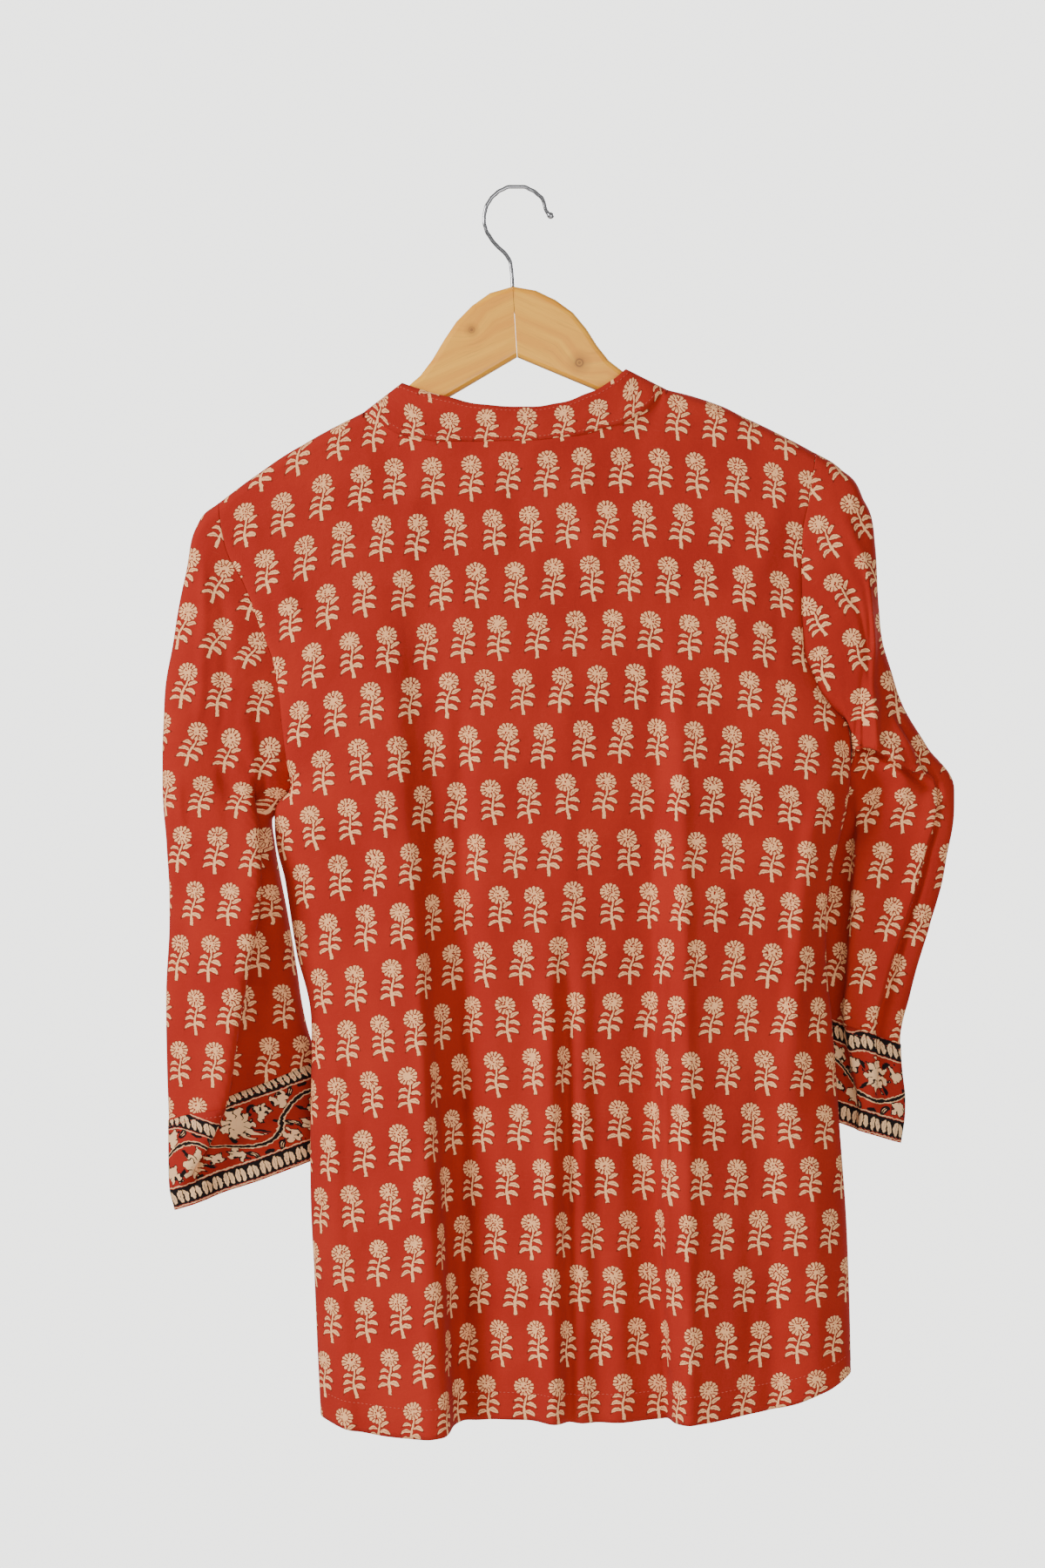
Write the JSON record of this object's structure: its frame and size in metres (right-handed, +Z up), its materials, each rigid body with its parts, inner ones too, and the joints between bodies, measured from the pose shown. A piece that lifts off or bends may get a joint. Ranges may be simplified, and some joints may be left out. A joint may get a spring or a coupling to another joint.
{
  "type": "printed cotton kurta tunic on a wooden hanger",
  "caption": "Short block-printed cotton kurta tunic with a band collar and three-quarter sleeves, on a flat wooden hanger with a wire hook.",
  "frame": {"origin": "the inside of the hook's crown, where it rests on a peg", "axes": "+Z up along the hang, +X across the shoulders, +Y towards the garment's front and the wall behind it; the garment's back faces -Y"},
  "size_m": [0.5508, 0.0839, 0.8615],
  "materials": {
    "printed_cotton": "matt woven cotton, madder red with a block-printed repeat",
    "border_cotton": "matt woven cotton with a printed border",
    "pale_wood": "satin varnish",
    "plated_wire": "bright plated steel wire"
  },
  "bodies": {
    "root": {"back_panel": "printed_cotton", "front_panel": "printed_cotton", "sleeve_left": "printed_cotton", "sleeve_right": "printed_cotton", "cuff_left": "border_cotton", "cuff_right": "border_cotton", "collar_band": "printed_cotton", "hanger_arm_left": "pale_wood", "hanger_arm_right": "pale_wood", "hook": "plated_wire"}
  },
  "joints": []
}
